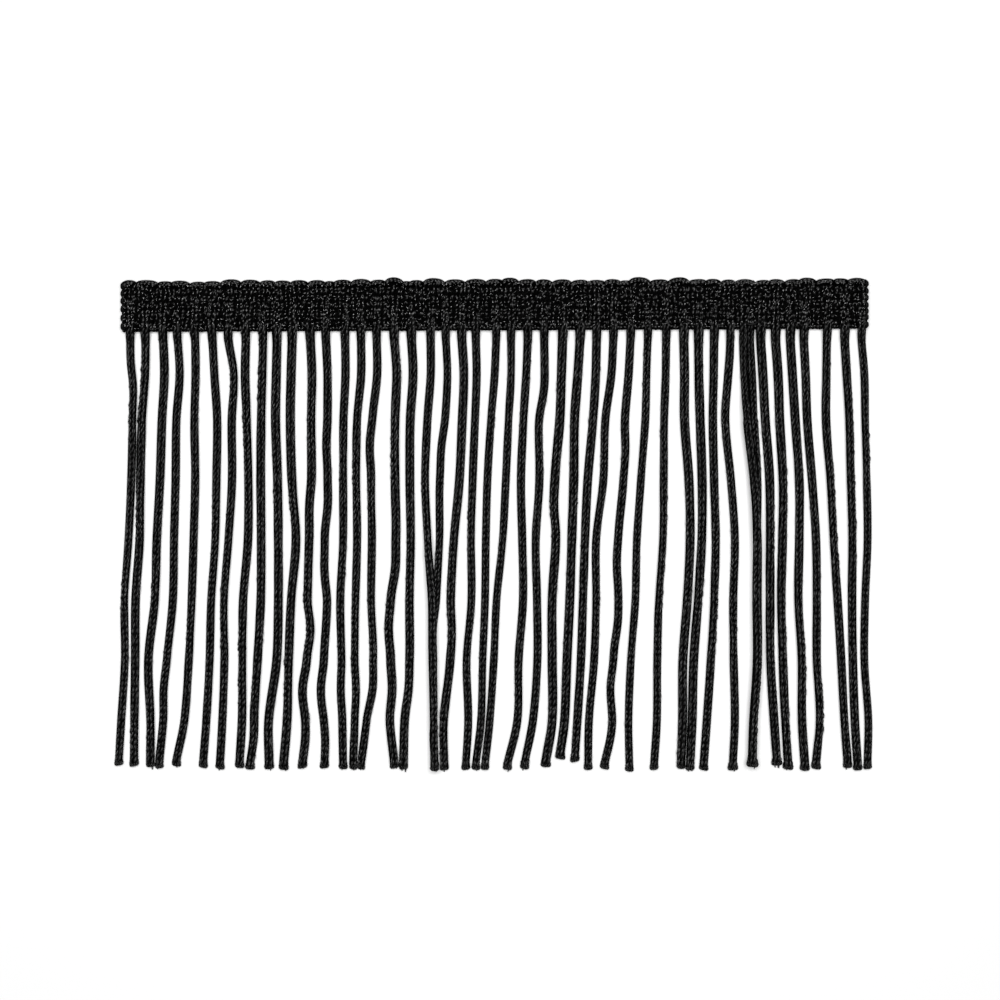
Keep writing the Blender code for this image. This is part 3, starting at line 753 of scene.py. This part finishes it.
# Knitted shapes: the yarn's half width, then the points its strands pass through
stitchShapes = {
    "leg": (0.24, ((-0.24, -0.64, -0.35), (-0.1, -0.25, 0.06), (0.1, 0.25, 0.09), (0.24, 0.64, -0.35))),
    "steep": (0.21, ((0.0, -0.68, -0.35), (-0.02, -0.26, 0.08), (0.03, 0.26, 0.05), (0.04, 0.68, -0.35))),
    "bead": (0.28, ((-0.2, -0.44, -0.33), (-0.07, -0.15, 0.1), (0.08, 0.15, 0.12), (0.2, 0.44, -0.33))),
    "ring": (0.16, ((-0.42, -0.5, -0.35), (-0.4, -0.04, 0.06), (-0.18, 0.34, 0.12), (0.18, 0.34, 0.12),
                    (0.39, -0.04, 0.06), (0.42, -0.5, -0.35))),
    "hook": (0.17, ((-0.38, 0.46, -0.35), (-0.36, 0.02, 0.06), (-0.08, -0.3, 0.12), (0.3, -0.22, 0.08),
                    (0.48, 0.02, -0.3))),
    "pair": (0.15, ((-0.4, -0.6, -0.35), (-0.3, -0.22, 0.08), (-0.16, 0.24, 0.1), (-0.07, 0.6, -0.35)),
             ((0.07, -0.6, -0.35), (0.17, -0.24, 0.1), (0.3, 0.22, 0.12), (0.4, 0.6, -0.35))),
    "slash": (0.19, ((-0.48, -0.46, -0.3), (-0.18, -0.17, 0.12), (0.18, 0.17, 0.12), (0.48, 0.46, -0.3))),
    "cross": (0.15, ((-0.42, -0.48, -0.3), (-0.15, -0.16, 0.16), (0.15, 0.16, 0.18), (0.42, 0.48, -0.3)),
              ((0.38, -0.48, -0.34), (0.12, -0.17, 0.0), (-0.15, 0.18, 0.02), (-0.4, 0.48, -0.34))),
}


def strand(points, width, steps=2, taper=0.55, flat=1.0):
    # Rings of a yarn that runs smoothly through its points and thins towards both ends
    line = []
    last = len(points) - 1
    for k in range(last * steps + 1):
        at = k / steps
        place = Vector([smoothCurve(range(last + 1), [point[axis] for point in points], at)
                        for axis in range(3)])
        full = 1 - (1 - taper) * abs(2 * at / last - 1) ** 3
        line.append((place * mm, width * full * mm, width * full * flat * mm))
    return line


def placedStrand(points, width, **shape):
    # The same in the trim's own place
    base = spot(0, 0, 0)
    return [(base + place, wide, tall) for place, wide, tall in strand(points, width, **shape)]


roots = [row[0] for row in cordRows]


def cordNear(x, reach=1.0):
    # 1 over the middle of a cord, 0 beside it
    off = min(abs(x - root) for root in roots)
    return 0.5 + 0.5 * math.cos(math.pi * min(off / reach, 1.0))


def stitchSet(name, kinds, sides):
    # The shapes that a row picks from, each an object in one collection
    shapes = bpy.data.collections.new(name)
    bpy.context.scene.collection.children.link(shapes)
    for order, kind in enumerate(kinds):
        width, *strands = stitchShapes[kind]
        lines = [strand(points, width, steps=1, flat=headingShape["flat"]) for points in strands]
        mesh = tubeMesh(kind, lines, sides)
        shapes.objects.link(bpy.data.objects.new(f"{name}_{order:02d}", mesh))
    return shapes


def dropSet(shapes):
    for item in list(shapes.objects):
        bpy.data.objects.remove(item)
    bpy.data.collections.remove(shapes)


def rowTree(name):
    # Sets stitches picked at random along lines, each shaken a little in place, angle and size
    tree = newTree(name, {
        "Stitches": "Collection", "Kinds": "Int", "Pitch": "Float", "Shift": "Vector", "Turn": "Vector",
        "Face": "Vector", "Smallest": "Vector", "Largest": "Vector", "Seed": "Int", "Yarn": "Material",
    })
    given = tree.nodes.new("NodeGroupInput").outputs
    seeds = [seedAfter(tree, given["Seed"], 100.0 * k) for k in range(4)]
    spots = addNode(tree, "GeometryNodeCurveToPoints",
                    {"Curve": given["Geometry"], "Length": given["Pitch"]}, mode="LENGTH")
    radius = tree.nodes.new("GeometryNodeInputRadius")
    shift = addNode(tree, "ShaderNodeVectorMath",
                    {0: eitherWay(tree, (1.0, 1.0, 1.0), seeds[0]), 1: given["Shift"]},
                    operation="MULTIPLY")
    moved = addNode(tree, "GeometryNodeSetPosition",
                    {"Geometry": spots.outputs["Points"], "Offset": shift.outputs["Vector"]})
    shapes = addNode(tree, "GeometryNodeCollectionInfo", {
        "Collection": given["Stitches"], "Separate Children": True, "Reset Children": True,
    })
    pick = addNode(tree, "FunctionNodeRandomValue",
                   {"Min_002": 0, "Max_002": given["Kinds"], "Seed": seeds[1]}, data_type="INT")
    turn = addNode(tree, "ShaderNodeVectorMath", {
        0: eitherWay(tree, (1.0, 1.0, 1.0), seeds[2]), 1: given["Turn"], 2: given["Face"],
    }, operation="MULTIPLY_ADD")
    sizes = addNode(tree, "FunctionNodeRandomValue",
                    {"Min": given["Smallest"], "Max": given["Largest"], "Seed": seeds[3]},
                    data_type="FLOAT_VECTOR")
    scaled = addNode(tree, "ShaderNodeVectorMath",
                     {0: sizes.outputs["Value"], "Scale": radius.outputs[0]}, operation="SCALE")
    rolled = addNode(tree, "FunctionNodeEulerToRotation", {0: turn.outputs["Vector"]})
    placed = addNode(tree, "GeometryNodeInstanceOnPoints", {
        "Points": moved.outputs["Geometry"], "Instance": shapes.outputs["Instances"], "Pick Instance": True,
        "Instance Index": socketOf(pick.outputs, "Value_002"), "Rotation": rolled.outputs[0],
        "Scale": scaled.outputs["Vector"],
    })
    end = tree.nodes.new("NodeGroupOutput")
    tree.links.new(dressed(tree, placed.outputs["Instances"], given["Yarn"]), end.inputs["Geometry"])
    return tree


def rowLine(y, z, size, start=0.8, lift=0.0):
    # A line along the heading at one height, raised where it crosses the cords and a little wavy
    stop = trim["length"] - headingShape["rowStops"]
    phase = draws.uniform(*headingShape["phases"])
    count = round((stop - start) / headingShape["rowStep"])
    line = []
    for k in range(count + 1):
        x = start + (stop - start) * k / count
        over = cordNear(x)
        wave = sum(high * math.sin(often * x + ahead * phase)
                   for high, often, ahead in headingShape["waves"])
        full = size * (1.0 + headingShape["fullerOverCord"] * over)
        line.append((spot(x, edgeAt(x) + y + wave, z + lift * over), full, 0.0))
    return line


def loopTop(order, x):
    # Height of a loop's outer side between its two feet
    crown = loopCrowns[order]
    foot = loopFeet[order] if x < crown[0] else loopFeet[order + 1]
    share = (x - crown[0]) / (foot[0] - crown[0])
    return crown[1] + (foot[1] - crown[1]) * min(share, 1.0) ** loopShape["curve"]


def groundMesh():
    # A closed band between face and back, following the loops along its top edge
    inset = headingShape["inset"]
    columns = []
    for order, (left, crown, right) in enumerate(zip(loopFeet, loopCrowns, loopFeet[1:])):
        feet = ((left, 1.0), (left, 0.75), (left, 0.45), (crown, 0.0), (right, 0.45), (right, 0.75))
        for foot, share in feet:
            x = crown[0] + (foot[0] - crown[0]) * share
            top = loopTop(order, x) - headingShape["groundBelow"]
            columns.append((max(x, inset), edgeAt(x) + inset, top))
    x, y = loopFeet[-1]
    columns.append((trim["length"] - inset, edgeAt(x) + inset, y - headingShape["groundBelow"]))
    verts = []
    for x, bottom, top in columns:
        for share, off, z in headingShape["groundSection"]:
            verts.append(spot(x, bottom + share * (top - bottom) + off, z))
    corners = len(headingShape["groundSection"])
    faces = []
    for k in range(len(columns) - 1):
        a, b = corners * k, corners * (k + 1)
        for s in range(corners):
            n = (s + 1) % corners
            faces.append((a + s, a + n, b + n, b + s))
    end = corners * (len(columns) - 1)
    faces += [tuple(reversed(range(corners))), tuple(range(end, end + corners))]
    mesh = bpy.data.meshes.new("ground")
    mesh.from_pydata([tuple(v) for v in verts], [], faces)
    # The band's finish is darker than the yarn: painted shade between the stitches over it
    mesh.materials.append(finishes["ground"])
    return mesh


def knitRows(name, lines, stitches, look, seed, yarn="heading"):
    # One piece of the heading: stitches picked from a set along lines
    return grown(pathObject("lines", lines), rowKnit, {
        "Stitches": stitches, "Kinds": len(stitches.objects) - 1, "Pitch": look["pitch"] * mm,
        "Shift": tuple(reach * mm for reach in look["shift"]), "Turn": look["turn"], "Face": look["face"],
        "Smallest": look["smallest"], "Largest": look["largest"], "Seed": seed, "Yarn": finishes[yarn],
    }, name)


frontSet = stitchSet("frontSet", ("leg", "steep", "bead", "ring", "hook", "pair", "slash", "cross"), 5)
plainSet = stitchSet("plainSet", ("leg", "steep", "bead", "pair"), 5)
backSet = stitchSet("backSet", ("leg", "bead", "steep"), 4)
rowKnit = rowTree("rowKnit")

heading = []
for order, y in enumerate(headingShape["rows"]):
    lines = []
    for rise, dip, size in headingShape["passes"]:
        start = draws.uniform(*headingShape["rowStarts"])
        if order == 0:
            rise *= headingShape["lowestRise"]
        if order == len(headingShape["rows"]) - 1:
            dip += headingShape["topDip"] * (1 + rise)
        z = headingShape["rowLift"] - dip
        lines.append(rowLine(y + rise, z, size, start, headingShape["overCord"]))
    heading.append(knitRows(f"headingRow_{order + 1}", lines, frontSet, rowLook, 31 * order))

# The cords' own stitches go on up into the heading
columnLines = []
for root in roots:
    for side in (-columnLook["apart"], columnLook["apart"]):
        top = draws.uniform(*columnLook["tops"])
        low = draws.uniform(*columnLook["lows"])
        columnLines.append([(spot(root + side, edgeAt(root) + y, columnLook["lift"]), 1.0, 0.0)
                            for y in (low, (low + top) / 2, top)])
heading.append(knitRows("headingColumns", columnLines, plainSet, columnLook, 7))

backLines = [rowLine(y - headingShape["backDrop"], headingShape["backLift"], headingShape["backSize"],
                     headingShape["backStart"]) for y in headingShape["rows"]]
heading.append(knitRows("headingBack", backLines, backSet, backLook, 19))

# The lower edge, seen from the front: stitches facing outwards
frontLines = [rowLine(y, z, 1.0) for y, z in headingShape["frontRows"]]
heading.append(knitRows("headingFront", frontLines, plainSet, frontLook, 43, "loop"))
for shapes in (frontSet, plainSet, backSet):
    dropSet(shapes)

# Loops along the top edge, each of a few yarns one inside another, the inner ones darker in painted shade
loops = []
paintedShadeStrands = []
for order, (left, crown, right) in enumerate(zip(loopFeet, loopCrowns, loopFeet[1:])):
    for offset, width, z in loopShape["yarns"]:
        points = []
        for k in range(2 * loopShape["steps"] + 1):
            t = -1 + k / loopShape["steps"]
            foot = left if t < 0 else right
            reach = abs(foot[0] - crown[0]) + loopShape["overlap"] - loopShape["narrows"] * offset
            x = min(max(crown[0] + t * reach, loopShape["inset"]), trim["length"] - loopShape["inset"])
            y = crown[1] + (foot[1] - crown[1]) * abs(t) ** loopShape["curve"]
            y -= loopShape["sinks"] * abs(t) ** 9
            over = loopShape["passes"] * (order % 2) * abs(t) - loopShape["drops"] * abs(t) ** 6
            wobble = draws.uniform(-loopShape["wobble"], loopShape["wobble"])
            points.append((x, y - offset - width, z + over + wobble))
        (paintedShadeStrands if offset else loops).append(placedStrand(points, width, steps=1, taper=0.8))

# Yarns turning round both ends, a few to each bump
endEdges = (endShape["inset"], trim["length"] - endShape["inset"])
for edge, inward, bumps, half in zip(endEdges, endShape["turns"], endShape["bumps"], endShape["halves"]):
    for y in bumps:
        for deeper, z, slip in endShape["yarns"]:
            x = edge + deeper * inward
            points = [(x + along * inward, y + slip + up * half, z - drop)
                      for along, up, drop in endShape["bend"]]
            loops.append(placedStrand(points, endShape["yarn"], taper=0.7))
# A loose yarn that crosses the lower edge
looseYarn = ((155.35, 1.92, 2.9), (156.9, 1.27, 3.15), (158.4, 1.52, 3.2), (159.95, 2.3, 3.15),
             (161.2, 1.9, 2.85))
loops.append(placedStrand(looseYarn, 0.2, steps=3))
heading.append(addObject("headingLoops", tubeMesh("headingLoops", loops, 6, material=finishes["loop"])))

# Sizes of the lower edge between two cords, and of the single stitches; a bend runs along its stitch
rimShape = {
    "leftOut": 0.4, "rightOut": 0.3, "clear": 0.8, "shortest": 0.5, "steps": 3,
    "rise": 0.24, "sag": 0.1, "lift": 1.1, "half": 0.36, "tall": 1.8,
}
bigStitch = {
    "aside": 0.2, "rise": 1.15, "shift": 0.1, "wide": (0.8, 1.2), "halves": (0.24, 0.33),
    "bend": ((-0.6, -0.1, 1.4), (-0.22, 0.02, 2.2), (0.22, 0.04, 2.2), (0.6, -0.05, 1.4)),
}
loopStitch = {
    "lines": ((0.6, 1.7), (1.02, 2.05)), "starts": (0.45, 0.8), "stops": 0.4, "steps": (0.7, 1.05),
    "leans": (-0.25, 0.35), "shifts": (-0.06, 0.06), "long": (0.85, 1.2), "halves": (0.16, 0.22),
    "flat": 0.8, "around": 0.2,
    "bend": ((-0.42, -0.3), (-0.15, 0.04), (0.15, 0.06), (0.42, -0.3)),
}
edgeStitch = {
    "rise": 0.46, "lift": 1.95, "starts": (1.1, 1.3), "stops": 0.95, "steps": (0.65, 0.95),
    "leans": (-0.6, 0.6), "shifts": (-0.08, 0.14), "halves": (0.17, 0.24), "flat": 0.9,
    "bend": ((-0.42, -0.45), (-0.15, 0.0), (0.15, 0.02), (0.42, -0.45)),
}

edges = []
gaps = list(zip((-rimShape["leftOut"], *roots), (*roots, trim["length"] + rimShape["rightOut"])))
for order, (left, right) in enumerate(gaps):
    a, b = left + rimShape["clear"], right - rimShape["clear"]
    if b - a > rimShape["shortest"]:
        points = []
        for k in range(2 * rimShape["steps"] + 1):
            t = -1 + k / rimShape["steps"]
            x = (a + b) / 2 + t * (b - a) / 2
            y = edgeAt(x) + rimShape["rise"] - rimShape["sag"] * (1 - t * t)
            points.append((x, y, rimShape["lift"]))
        # The lower edge strand goes in the darker finish: painted shade
        paintedShadeStrands.append(placedStrand(points, rimShape["half"], steps=1, taper=0.9, flat=rimShape["tall"]))
        middle = (a + b) / 2 + draws.uniform(-bigStitch["aside"], bigStitch["aside"])
        y = edgeAt(middle) + bigStitch["rise"] + draws.uniform(-bigStitch["shift"], bigStitch["shift"])
        wide = draws.uniform(*bigStitch["wide"])
        points = [(middle + along * wide, y + up, z) for along, up, z in bigStitch["bend"]]
        # Every other big stitch goes in the darker finish: painted shade
        (paintedShadeStrands if order % 2 else edges).append(
            placedStrand(points, draws.uniform(*bigStitch["halves"]), taper=0.6))

# Stitches that follow the loops
for order, (left, right) in enumerate(zip(loopFeet, loopFeet[1:])):
    for offset, z in loopStitch["lines"]:
        x = left[0] + draws.uniform(*loopStitch["starts"])
        while x < right[0] - loopStitch["stops"]:
            climb = loopTop(order, x + loopStitch["around"]) - loopTop(order, x - loopStitch["around"])
            lean = climb / (2 * loopStitch["around"]) + draws.uniform(*loopStitch["leans"])
            y = loopTop(order, x) - offset + draws.uniform(*loopStitch["shifts"])
            long = draws.uniform(*loopStitch["long"])
            points = [(x + along * long, y + along * long * lean, z + rise)
                      for along, rise in loopStitch["bend"]]
            half = draws.uniform(*loopStitch["halves"])
            edges.append(placedStrand(points, half, steps=1, taper=0.6, flat=loopStitch["flat"]))
            x += draws.uniform(*loopStitch["steps"])
# Short ones along the lower edge, between the cords
for left, right in gaps:
    x = left + draws.uniform(*edgeStitch["starts"])
    while x < right - edgeStitch["stops"]:
        y = edgeAt(x) + edgeStitch["rise"] + draws.uniform(*edgeStitch["shifts"])
        lean = draws.uniform(*edgeStitch["leans"])
        points = [(x + along, y + along * lean, edgeStitch["lift"] + rise)
                  for along, rise in edgeStitch["bend"]]
        half = draws.uniform(*edgeStitch["halves"])
        edges.append(placedStrand(points, half, steps=1, taper=0.6, flat=edgeStitch["flat"]))
        x += draws.uniform(*edgeStitch["steps"])
heading.append(addObject("headingEdges", tubeMesh("headingEdges", edges, 8, material=finishes["heading"])))

# Inner loop yarns, lower edge strands and every other big stitch, darkened as painted shade
heading.append(addObject("headingRim", tubeMesh("headingRim", paintedShadeStrands, 8, material=finishes["paintedShade"])))
ground = addObject("headingGround", groundMesh())
print("heading knitted", len(heading))

# Floor, light and camera in metres and watts, with the middle of the view as a place on the trim
studio = {
    "topSize": 0.8, "topUp": 1.2, "topBack": 0.1, "topPower": 20.5, "sky": 0.03,
    "floorReach": 2.0, "paper": 0.82, "paperRough": 0.9,
    "cameraUp": 0.62, "frameWidth": 0.250, "sensor": 36.0, "middle": (94.75, -42.5, 1.2),
}

far = studio["floorReach"]
floor = addObject("floor", bpy.data.meshes.new("floor"))
floor.data.from_pydata([(-far, -far, 0), (far, -far, 0), (far, far, 0), (-far, far, 0)], [], [(0, 1, 2, 3)])
paper, paperSurface = newMaterial("paper")
paperSurface.inputs["Base Color"].default_value = (studio["paper"], studio["paper"], studio["paper"], 1)
paperSurface.inputs["Roughness"].default_value = studio["paperRough"]
floor.data.materials.append(paper)


def softBox(name, place, size, power):
    light = bpy.data.lights.new(name, "AREA")
    light.shape = "SQUARE"
    light.size = size
    light.energy = power
    lamp = addObject(name, light)
    lamp.location = place
    lamp.rotation_euler = (Vector((0, 0, 0)) - Vector(place)).to_track_quat("-Z", "Y").to_euler()
    return lamp


softBox("topBox", (0.0, studio["topBack"], studio["topUp"]), studio["topSize"], studio["topPower"])
world = bpy.data.worlds.new("studio")
world.use_nodes = True
world.node_tree.nodes["Background"].inputs["Color"].default_value = (1, 1, 1, 1)
world.node_tree.nodes["Background"].inputs["Strength"].default_value = studio["sky"]
bpy.context.scene.world = world
bpy.context.scene.view_settings.view_transform = "Standard"

lens = bpy.data.cameras.new("camera")
lens.sensor_width = studio["sensor"]
lens.lens = studio["sensor"] * studio["cameraUp"] / studio["frameWidth"]
camera = addObject("camera", lens)
camera.location = spot(*studio["middle"]) + Vector((0, 0, studio["cameraUp"]))
bpy.context.scene.camera = camera
print("studio set")

for piece in cords:
    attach(piece, "root")
    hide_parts("fringe")
for piece in (ground, *heading):
    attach(piece, "root")
    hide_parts("heading")
